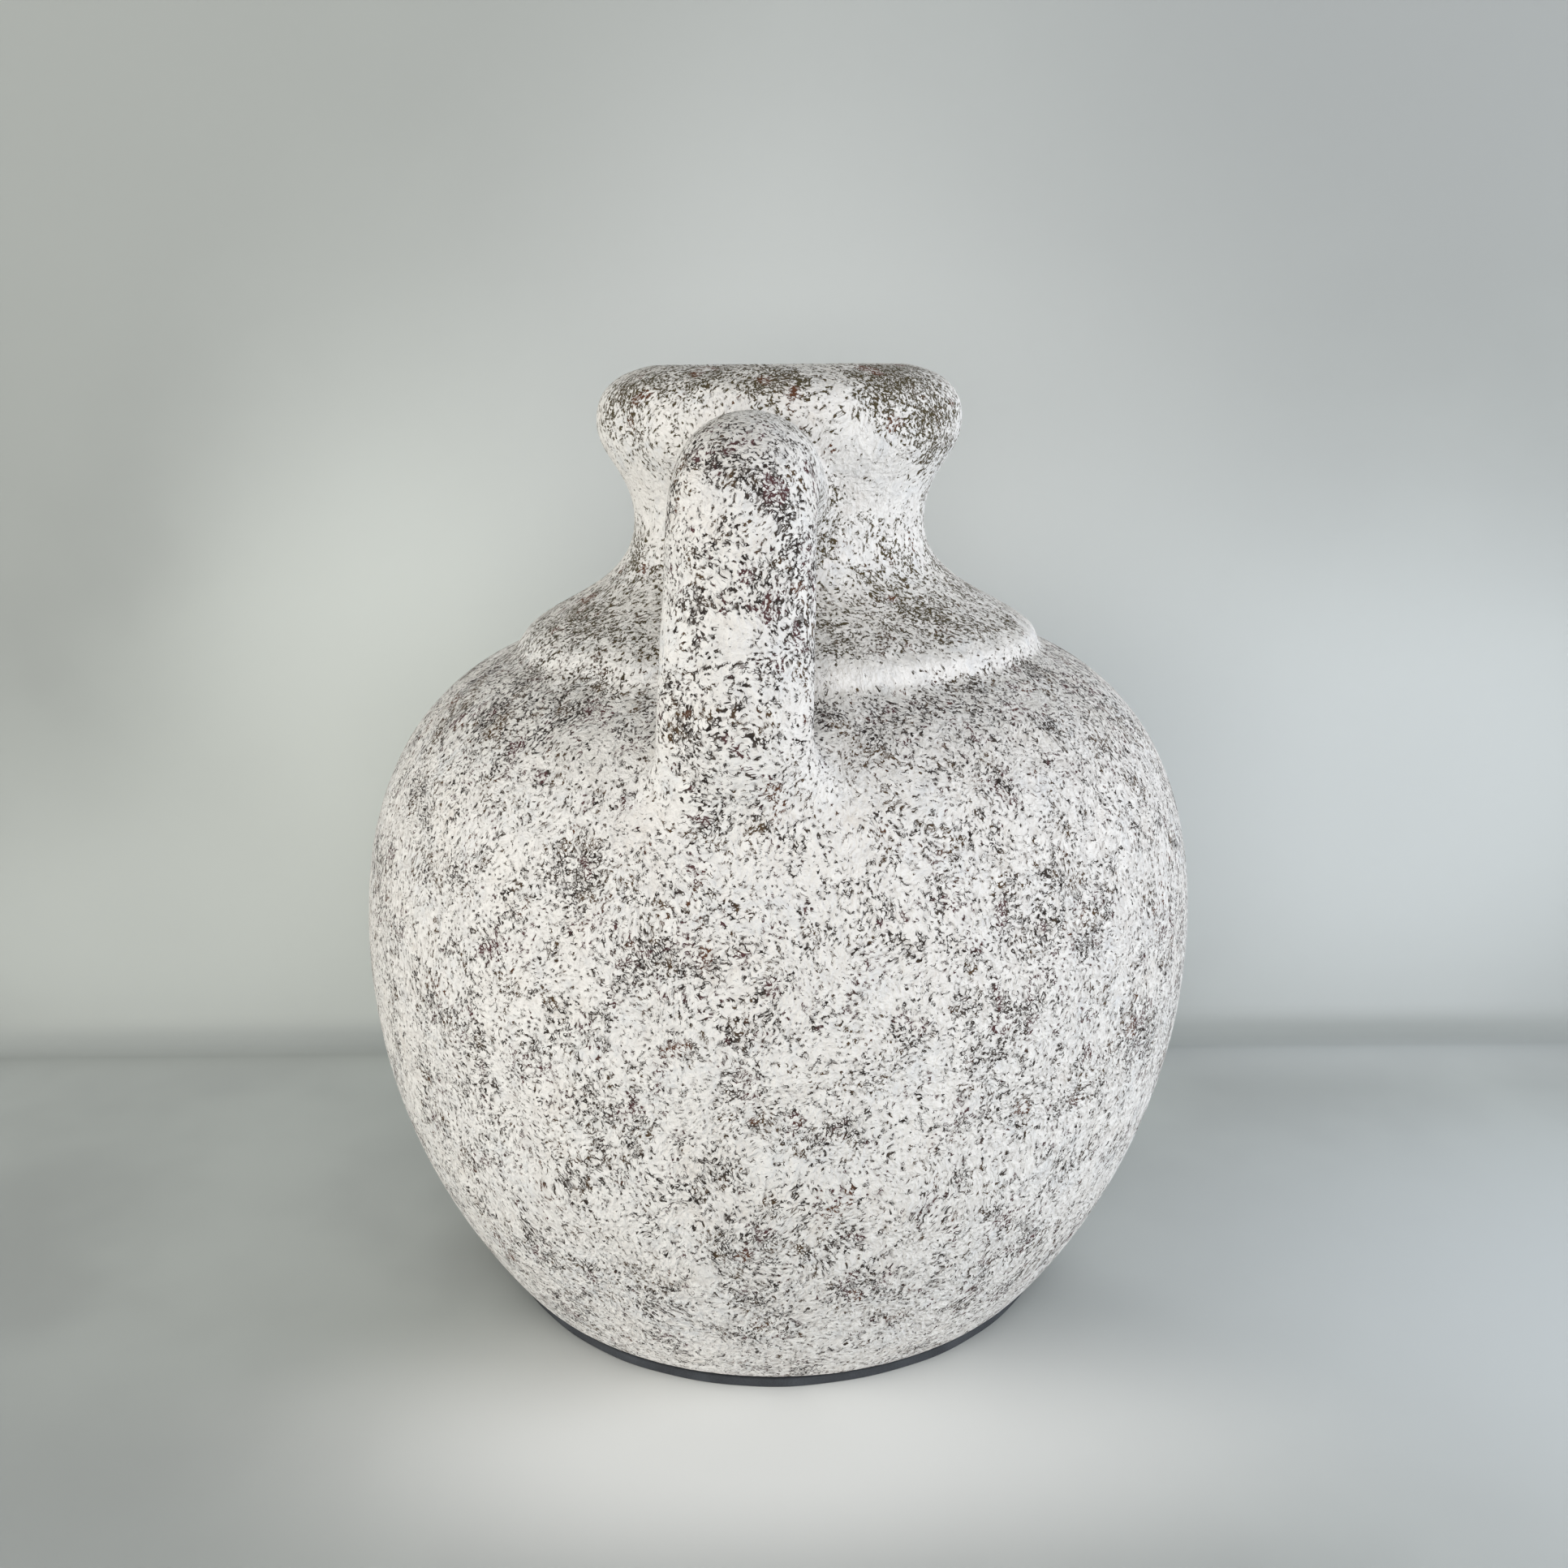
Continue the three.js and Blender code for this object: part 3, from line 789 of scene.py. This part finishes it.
# Where the strokes crowd (above zero) or thin out (below): middle, reach in mm, and by how much
crowdSpots = {
    "rimRight": ((68, -40, 390), 27, 0.41),
    "rimLeft": ((-50, -46, 389), 22, 0.14),
    "rimUpperBand": ((10, -66, 402), 17, 0.25),
    "rimUpperBandRight": ((44, -50, 402), 18, 0.25),
    "rimUpperBandLeft": ((-24, -60, 402), 17, 0.25),
    "rimBesideCrown": ((35, -64, 376), 17, -0.25),
    "neckRight": ((48, -46, 356), 30, -0.3),
    "neckLeft": ((-44, -42, 356), 30, -0.2),
    "handleCrownRight": ((20, -138, 368), 18, 0.15),
    "handleUpper": ((5, -153, 345), 20, -0.13),
    "handleMiddle": ((3, -160, 316), 15, -0.25),
    "handleLow": ((0, -165, 287), 13, 0.24),
    "handleLowLeft": ((-18, -160, 284), 9, 0.15),
    # denser strokes, and painted shade on the handle's right side
    "handleRightSideShade": ((33, -146, 322), 28, 0.28),
    "handleLeftSide": ((-27, -152, 318), 18, -0.3),
    "handleLeftSideLow": ((-27, -158, 290), 14, -0.2),
    "handleFoot": ((12, -160, 262), 20, 0.1),
    "rootLeft": ((-34, -152, 255), 16, -0.22),
    "shoulderRight": ((68, -66, 302), 32, 0.11),
    "shoulderFarRight": ((96, -50, 296), 24, 0.16),
    "shoulderLeft": ((-79, -45, 304), 36, 0.14),
    "bellyUpperLeft": ((-108, -98, 262), 44, 0.08),
    "bellyBesideRoot": ((-36, -168, 225), 28, 0.14),
    "bellyUpperRight": ((57, -122, 276), 15, 0.12),
    "bellyRightPatch": ((105, -140, 215), 18, 0.15),
    "besideRootRight": ((56, -148, 250), 24, -0.15),
    "rimFrontOpen": ((8, -77, 389), 15, -0.14),
    "bellyTopRight": ((133, -40, 266), 30, 0.16),
    "bellyOpen": ((50, -172, 200), 20, -0.15),
    "bellyMiddle": ((-7, -175, 214), 26, 0.12),
    "bellyLowMiddle": ((3, -178, 118), 36, 0.07),
}


def newMaterial(name):
    material = bpy.data.materials.new(name)
    material.use_nodes = True
    material.node_tree.nodes.clear()
    return material, material.node_tree


def layered(tree, base, layers, fields):
    colour = linear(claySurface[base])
    for name, (field, low, high) in layers.items():
        amount = addNode(tree, "ShaderNodeMapRange", [fields[field], low, high])
        colour = addNode(tree, "ShaderNodeMix", {0: amount, 6: colour, 7: linear(claySurface[name])},
                         data_type="RGBA")
    return colour


def clayMaterial():
    s = claySurface
    material, tree = newMaterial("whitewashedFiredClay")
    coordinates = addNode(tree, "ShaderNodeTexCoord").outputs
    places = addNode(tree, "ShaderNodeVectorMath", {0: coordinates["Object"], "Scale": 1 / mm},
                     operation="SCALE")
    x, _, z = addNode(tree, "ShaderNodeSeparateXYZ", [places]).outputs
    drawnDown = addNode(tree, "ShaderNodeVectorMath", [places, (1, 1, 0.14)], operation="MULTIPLY")

    # The strokes are bent, as by a brush, and drawn out upwards low on the belly
    lift = addNode(tree, "ShaderNodeMapRange", [z, 0.0, s["lowestPart"], s["taller"], 0.0])
    lift = addNode(tree, "ShaderNodeCombineXYZ", {2: lift})
    spaces = {"places": places, "drawnDown": drawnDown,
              "bent": addNode(tree, "ShaderNodeVectorMath", [places, lift], operation="ADD")}
    fields = {}
    for name, (seed, space, size, detail) in clayNoises.items():
        fields[name] = addNode(tree, "ShaderNodeTexNoise", {
            "Vector": spaces[space], "W": float(seed), "Scale": 1 / size, "Detail": float(detail)},
            noise_dimensions="4D")
        if name in ("wideBend", "bend"):
            amount = (s[name], s[name], s[name])
            spaces["bent"] = addNode(tree, "ShaderNodeVectorMath", [
                fields[name].outputs["Color"], amount, spaces["bent"]], operation="MULTIPLY_ADD")

    # Where the strokes crowd together: in patches and spots, on what looks up as painted shade, and in
    # streaks on the right
    sparse, crowded = (s["crowding"] + more for more in s["patchCrowding"])
    crowd = addNode(tree, "ShaderNodeMapRange", [
        fields["patches"], *s["patchRange"], sparse, crowded], **smooth)
    for middle, reach, strength in crowdSpots.values():
        distance = addNode(tree, "ShaderNodeVectorMath", [places, middle], operation="DISTANCE")
        share = addNode(tree, "ShaderNodeMapRange", [
            distance, reach * 1.3, reach * 0.2, 0.0, strength], **smooth)
        crowd = addNode(tree, "ShaderNodeMath", [crowd, share], operation="ADD")
    # Faces that look up are darkened as painted shade
    facingUp = addNode(tree, "ShaderNodeSeparateXYZ", [coordinates["Normal"]]).outputs[2]
    upwardShade = addNode(tree, "ShaderNodeMapRange", [facingUp, 0.45, 0.95], **smooth)
    crowd = addNode(tree, "ShaderNodeMath", [upwardShade, s["upwardShadeCrowding"], crowd], operation="MULTIPLY_ADD")
    streak = addNode(tree, "ShaderNodeMapRange", [
        fields["streaks"], 0.35, 0.65, -s["streakCrowding"], s["streakCrowding"]])
    onRight = addNode(tree, "ShaderNodeMapRange", [x, 50.0, 90.0], **smooth)
    crowd = addNode(tree, "ShaderNodeMath", [streak, onRight, crowd], operation="MULTIPLY_ADD")

    # Fingers wiped the step's edge nearly clean on its crisp side
    level = addNode(tree, "ShaderNodeVectorMath", [places, (1, 1, 0)], operation="MULTIPLY")
    fromAxis = addNode(tree, "ShaderNodeVectorMath", [level], operation="LENGTH")
    onSection = addNode(tree, "ShaderNodeCombineXYZ", [fromAxis, 0.0, z])
    fromEdge = addNode(tree, "ShaderNodeVectorMath", [onSection, s["wipedEdge"]], operation="DISTANCE")
    wiped = addNode(tree, "ShaderNodeMapRange", [
        fromEdge, *s["wipedReach"], 0.0, s["wipedCrowding"]], **smooth)
    crispSide = addNode(tree, "ShaderNodeMapRange", [x, 0.0, 60.0], **smooth)
    unevenly = addNode(tree, "ShaderNodeMapRange", [fields["patches"], 0.4, 0.6, 0.5, 1.0])
    crispSide = addNode(tree, "ShaderNodeMath", [crispSide, unevenly], operation="MULTIPLY")
    crowd = addNode(tree, "ShaderNodeMath", [wiped, crispSide, crowd], operation="MULTIPLY_ADD")
    crowd = addNode(tree, "ShaderNodeMath", [crowd, 0.0], operation="MAXIMUM")

    # Strokes lie where a noise passes through its middle value, broken into flecks by two others
    width = crowd
    for name, share in (("flecks", s["widthFromFlecks"]), ("breaks", s["widthFromBreaks"])):
        width = addNode(tree, "ShaderNodeMath", [fields[name], share, width], operation="MULTIPLY_ADD")
    width = addNode(tree, "ShaderNodeMath", [width, s["widthFromBreaks"]], operation="SUBTRACT")
    width = addNode(tree, "ShaderNodeMath", [width, s["broadest"]], operation="MINIMUM")
    boldness = addNode(tree, "ShaderNodeMapRange", [z, *s["boldBetween"], 1.0, s["boldest"]])
    width = addNode(tree, "ShaderNodeMath", [width, boldness], operation="MULTIPLY")

    # Each stroke has a paler edge, where the wash was pushed aside, and this edge is also a painted highlight
    # where the stroke's rim catches light. A maximum takes two inputs only.
    fields["mark"] = fields["edge"] = 0.0
    for name, (thickness, least, soft, strength) in strokeKinds.items():
        fromMiddle = addNode(tree, "ShaderNodeMath", [fields[name], 0.5], operation="SUBTRACT")
        fromMiddle = addNode(tree, "ShaderNodeMath", [fromMiddle], operation="ABSOLUTE")
        reach = addNode(tree, "ShaderNodeMath", [width, thickness, least], operation="MULTIPLY_ADD")
        inside = addNode(tree, "ShaderNodeMath", [reach, fromMiddle], operation="SUBTRACT")
        for field, low, high in (("mark", -soft, soft), ("edge", -6 * soft, -soft)):
            share = addNode(tree, "ShaderNodeMapRange", [inside, low, high, 0.0, strength], **smooth)
            fields[field] = addNode(tree, "ShaderNodeMath", [fields[field], share], operation="MAXIMUM")

    # The flanks and the lowest part stayed rougher under the brush: deeper crinkles, and more painted shade
    # in the hollows of the wash
    sideways = addNode(tree, "ShaderNodeMath", [x], operation="ABSOLUTE")
    rough = addNode(tree, "ShaderNodeMapRange", [sideways, 80.0, 165.0])
    rough = addNode(tree, "ShaderNodeMath", [rough, addNode(tree, "ShaderNodeMapRange", [z, 120.0, 50.0])],
                    operation="MAXIMUM")

    # The wash is warm and cool in patches and thick and thin. Its hollows are greyer from thin wash and
    # painted shade, and where it looks up it takes dust and painted shade
    # Painted shade in the crinkles' hollows, together with thin wash
    shadedHollow = addNode(tree, "ShaderNodeMapRange", [fields["crinkles"], 0.58, 0.36], **smooth)
    thin = addNode(tree, "ShaderNodeMapRange", [width, -0.25, 0.3, 0.1, 0.48], **smooth)
    thin = addNode(tree, "ShaderNodeMath", [rough, 0.2, thin], operation="MULTIPLY_ADD")
    fields["veilAndHollowShade"] = addNode(tree, "ShaderNodeMath", [shadedHollow, thin], operation="MULTIPLY")
    # Dust, and painted shade, on faces that look up
    dustAndUpShadeShare = addNode(tree, "ShaderNodeMapRange", [fields["dustAndUpShade"], 0.3, 0.7, 0.1, 0.5])
    fields["dustAndUpShadeShare"] = addNode(tree, "ShaderNodeMath", [upwardShade, dustAndUpShadeShare], operation="MULTIPLY")
    offHandle = addNode(tree, "ShaderNodeMapRange", [fromAxis, 125.0, 110.0])
    high = addNode(tree, "ShaderNodeMapRange", [z, 250.0, 320.0])
    fields["onShoulder"] = addNode(tree, "ShaderNodeMath", [offHandle, high], operation="MULTIPLY")
    surface = addNode(tree, "ShaderNodeMix", {
        0: fields["mark"], 6: layered(tree, "washWarm", washLayers, fields),
        7: layered(tree, "clayDark", clayTints, fields)}, data_type="RGBA")

    # The wash ends unevenly inside the mouth
    washed = addNode(tree, "ShaderNodeAttribute", attribute_name="wash").outputs["Fac"]
    washed = addNode(tree, "ShaderNodeMath", [fields["crinkles"], 0.9, washed], operation="MULTIPLY_ADD")
    washed = addNode(tree, "ShaderNodeMapRange", [washed, 0.8, 1.05])
    surface = addNode(tree, "ShaderNodeMix", {0: washed, 6: linear(s["rawInside"]), 7: surface},
                      data_type="RGBA")

    depth = addNode(tree, "ShaderNodeMapRange", [
        rough, 0.0, 1.0, s["crinkleDepth"], s["crinklesWhereRough"] * s["crinkleDepth"]])
    height = addNode(tree, "ShaderNodeMath", [fields["crinkles"], depth], operation="MULTIPLY")
    for name, deep in (("grain", s["grainDepth"]), ("mark", -s["pitDepth"])):
        height = addNode(tree, "ShaderNodeMath", [fields[name], deep, height], operation="MULTIPLY_ADD")
    bump = addNode(tree, "ShaderNodeBump", {"Distance": mm, "Height": height})
    shader = addNode(tree, "ShaderNodeBsdfPrincipled", {
        "Base Color": surface, "Normal": bump, "Roughness": s["roughness"],
        "Specular IOR Level": s["gloss"]})
    addNode(tree, "ShaderNodeOutputMaterial", [shader])
    return material


# Closed-cell foam sheet: matt slate grey with the skin's fine cells, sizes in mm
foamSurface = {
    "face": "#43474d",
    "deep": "#2d3035",
    "cellSize": 0.7,
    "scuffSize": 14,
    "cellDepth": 0.08,
    "roughness": 0.85,
}


def foamMaterial():
    s = foamSurface
    material, tree = newMaterial("slateFoamSheet")
    places = addNode(tree, "ShaderNodeTexCoord").outputs["Object"]
    cells, scuffs = (addNode(tree, "ShaderNodeTexNoise", {
        "Vector": places, "Scale": 1 / (s[size] * mm), "Detail": detail})
        for size, detail in (("cellSize", 2.0), ("scuffSize", 3.0)))
    both = addNode(tree, "ShaderNodeMath", [cells, 0.5, scuffs], operation="MULTIPLY_ADD")
    share = addNode(tree, "ShaderNodeMapRange", [both, 0.5, 1.0])
    colour = addNode(tree, "ShaderNodeMix", {0: share, 6: linear(s["deep"]), 7: linear(s["face"])},
                     data_type="RGBA")
    bump = addNode(tree, "ShaderNodeBump", {"Distance": s["cellDepth"] * mm, "Height": cells})
    shader = addNode(tree, "ShaderNodeBsdfPrincipled", {
        "Base Color": colour, "Normal": bump, "Roughness": s["roughness"]})
    addNode(tree, "ShaderNodeOutputMaterial", [shader])
    return material


# The photograph's camera, in mm and degrees, and the pale sweep that the vase stands on
studio = {
    "sensor": 36,
    "lens": 35.87,
    "clipStart": 0.02,
    "eye": (74.2, -671.9, 408.2),
    "tilt": 15.45,
    "pan": 0.4,
    "roll": -0.42,
    "turn": 6.3,  # the vase's handle stands this far round from the camera's line
    "wallBehind": 212,
    "coveRadius": 18,
    "wallHeight": 1800,
    "floorReach": 1650,
    "sweep": "#b4b9b7",
    "sweepDark": "#a6aaa9",
    "sweepRoughness": 0.9,
    "sweepGloss": 0.2,
    "cloudSize": 0.16,
    "cloudRange": (0.36, 0.66),
    "paintedLightFade": (1.0, 0.15),  # from the edge of a part's reach to where it is whole
    "wallFrom": (0.02, 0.03),
    # middle and reach of each painted pool of light and each patch of painted shade in the camera's frame, in
    # m, and its colour
    "paintedLightAndShade": [
        ((0.42, -0.1, 0), (0.4, 0.3, 0.1), "#cad0d3"),
        ((-0.01, -0.16, 0), (0.28, 0.11, 0.1), "#eceeed"),
        ((0.05, 0.212, 0.36), (0.44, 0.1, 0.4), "#c5c9c9"),
        ((0.37, 0.212, 0.16), (0.34, 0.1, 0.3), "#d4d9da"),
        ((-0.37, 0.212, 0.08), (0.25, 0.1, 0.14), "#c3c8c6"),
        ((-0.22, 0.212, 0.2), (0.2, 0.1, 0.3), "#ced3d0"),
        ((-0.35, 0.212, 0.6), (0.4, 0.1, 0.34), "#aaaeac"),
        ((0.37, 0.212, 0.6), (0.44, 0.1, 0.38), "#a9adae"),
        ((-0.36, -0.2, 0), (0.3, 0.13, 0.1), "#a6aaa9"),
        ((-0.48, 0.212, 0.42), (0.22, 0.1, 0.34), "#a7aba9"),
        ((0, 0.205, 0.004), (3, 0.018, 0.018), "#a6abaa"),
    ],
    "worldColour": "#f2f5fa",
    "worldStrength": 0.2,
    "aim": (0, 0, 0.2),
}


def turnedBy(degrees):
    return Matrix.Rotation(math.radians(degrees), 4, "Z")


def makeCamera():
    s = studio
    tilt, pan, roll = (math.radians(s[key]) for key in ("tilt", "pan", "roll"))
    forward = Vector((math.sin(pan) * math.cos(tilt), math.cos(pan) * math.cos(tilt), -math.sin(tilt)))
    right = Vector((math.cos(pan), -math.sin(pan), 0))
    up = right.cross(forward)
    right, up = (right * math.cos(roll) + up * math.sin(roll), up * math.cos(roll) - right * math.sin(roll))
    camera = newObject("photoCamera", bpy.data.cameras.new("photoCamera"))
    camera.data.lens = s["lens"]
    camera.data.sensor_width = s["sensor"]
    camera.data.clip_start = s["clipStart"]
    turn = Matrix((right, up, -forward)).transposed().to_4x4()
    camera.matrix_world = Matrix.Translation(Vector(s["eye"]) * mm) @ turnedBy(s["turn"]) @ turn
    bpy.context.scene.camera = camera


# Painted sweep with soft clouds, and painted light and shade: a painted pool of light in front of the pad and
# behind the vase's right side, painted light that fills the lamps' shadow beside the vase, and painted shade
# along the cove, towards the upper corners and on the left
def sweepMaterial():
    s = studio
    material, tree = newMaterial("paintedSweep")
    places = addNode(tree, "ShaderNodeTexCoord").outputs["Object"]
    clouds = addNode(tree, "ShaderNodeTexNoise", {
        "Vector": places, "W": 5.0, "Scale": 1 / s["cloudSize"], "Detail": 3.0}, noise_dimensions="4D")
    share = addNode(tree, "ShaderNodeMapRange", [clouds, *s["cloudRange"]], **smooth)
    colour = addNode(tree, "ShaderNodeMix", {0: share, 6: linear(s["sweepDark"]), 7: linear(s["sweep"])},
                     data_type="RGBA")
    # Painted light and shade: paler and darker patches over the sweep's grey
    for middle, reach, paintedTone in s["paintedLightAndShade"]:
        mapping = addNode(tree, "ShaderNodeMapping", [
            places, turnedBy(s["turn"]) @ Vector(middle), (0, 0, math.radians(s["turn"])), reach],
            vector_type="TEXTURE")
        distance = addNode(tree, "ShaderNodeVectorMath", [mapping], operation="LENGTH")
        share = addNode(tree, "ShaderNodeMapRange", [distance, *s["paintedLightFade"]], **smooth)
        colour = addNode(tree, "ShaderNodeMix", {0: share, 6: colour, 7: linear(paintedTone)}, data_type="RGBA")
    shader = addNode(tree, "ShaderNodeBsdfPrincipled", {
        "Base Color": colour, "Roughness": s["sweepRoughness"], "Specular IOR Level": s["sweepGloss"]})

    # From behind, the sweep can be seen through, and its wall lets the lamp behind it through
    wall = addNode(tree, "ShaderNodeSeparateXYZ", [places]).outputs[2]
    wall = addNode(tree, "ShaderNodeMapRange", [wall, *s["wallFrom"]])
    lampLight = addNode(tree, "ShaderNodeLightPath").outputs["Is Shadow Ray"]
    lampLight = addNode(tree, "ShaderNodeMath", [lampLight, wall], operation="MULTIPLY")
    fromBehind = addNode(tree, "ShaderNodeNewGeometry").outputs["Backfacing"]
    through = addNode(tree, "ShaderNodeMath", [lampLight, fromBehind], operation="MAXIMUM")
    clear = addNode(tree, "ShaderNodeBsdfTransparent")
    shader = addNode(tree, "ShaderNodeMixShader", [through, shader, clear])
    addNode(tree, "ShaderNodeOutputMaterial", [shader])
    return material


def makeSweep():
    s = studio
    radius = s["coveRadius"]
    cove = [(s["wallBehind"] - radius + radius * math.sin(a), radius - radius * math.cos(a))
            for a in np.linspace(0, math.pi / 2, 24)]
    floorBehind = [(s["floorReach"], 0), (s["wallBehind"] - radius, 0)]
    profile = [(-s["floorReach"], 0)] + cove + [(s["wallBehind"], s["wallHeight"])] + floorBehind
    turn = turnedBy(s["turn"])
    points = [turn @ Vector((x, y, z)) * mm for x in (-s["floorReach"], s["floorReach"]) for y, z in profile]
    count = len(profile)
    faces = [(i, i + count, i + count + 1, i + 1) for i in range(count - 3)]
    faces.append((count - 1, 2 * count - 1, 2 * count - 2, count - 2))
    mesh = bpy.data.meshes.new("sweep")
    mesh.from_pydata(points, [], faces)
    mesh.shade_smooth()
    mesh.materials.append(sweepMaterial())
    sweep = newObject("sweep", mesh)


# Soft boxes in the camera's frame: place in m, width and height in m, power in W, colour. The light is even
# from all sides, as in the photograph, and most of it comes in low.
lamps = {
    "front": ((-0.2, -2.2, 0.38), (1.6, 0.6), 10.9, "#fffdf8"),
    "above": ((0.2, -1.8, 1.5), (1.3, 1.3), 13.4, "#fffefa"),
    "left": ((-1.85, -0.8, 0.55), (1.3, 0.9), 21.4, "#fffaf0"),
    "right": ((1.9, -0.45, 0.55), (1.0, 0.9), 23.2, "#f6f9ff"),
    "behind": ((0.5, 1.9, 1.3), (1.6, 1.0), 13, "#ffffff"),
}


def makeLights():
    turn = turnedBy(studio["turn"])
    for name, (place, size, power, colour) in lamps.items():
        light = bpy.data.lights.new(name, "AREA")
        light.shape = "RECTANGLE"
        light.size, light.size_y = size
        light.energy = power
        light.color = linear(colour)[:3]
        holder = newObject(name, light)
        place = turn @ Vector(place)
        facing = Vector(studio["aim"]) - place
        holder.matrix_world = Matrix.Translation(place) @ facing.to_track_quat("-Z", "Y").to_matrix().to_4x4()

    # The room's light is weak, and behind the sweep the camera sees its pale grey
    world = bpy.data.worlds.new("studioWorld")
    bpy.context.scene.world = world
    world.use_nodes = True
    tree = world.node_tree
    tree.nodes.clear()
    light = addNode(tree, "ShaderNodeBackground", [linear(studio["worldColour"]), studio["worldStrength"]])
    seen = addNode(tree, "ShaderNodeBackground", [linear(studio["sweep"]), 1.0])
    path = addNode(tree, "ShaderNodeLightPath").outputs["Is Camera Ray"]
    addNode(tree, "ShaderNodeOutputWorld", [addNode(tree, "ShaderNodeMixShader", [path, light, seen])])


bpy.context.scene.view_settings.view_transform = "Standard"
makeCamera()
makeSweep()
makeLights()
print("studio ready")

clay = clayMaterial()
pieces = {**makePot(clay), "handle": makeHandle(clay), "base_pad": makePad(foamMaterial())}
for node, piece in pieces.items():
    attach(piece, "root")
    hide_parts(node)
print("all pieces in place")
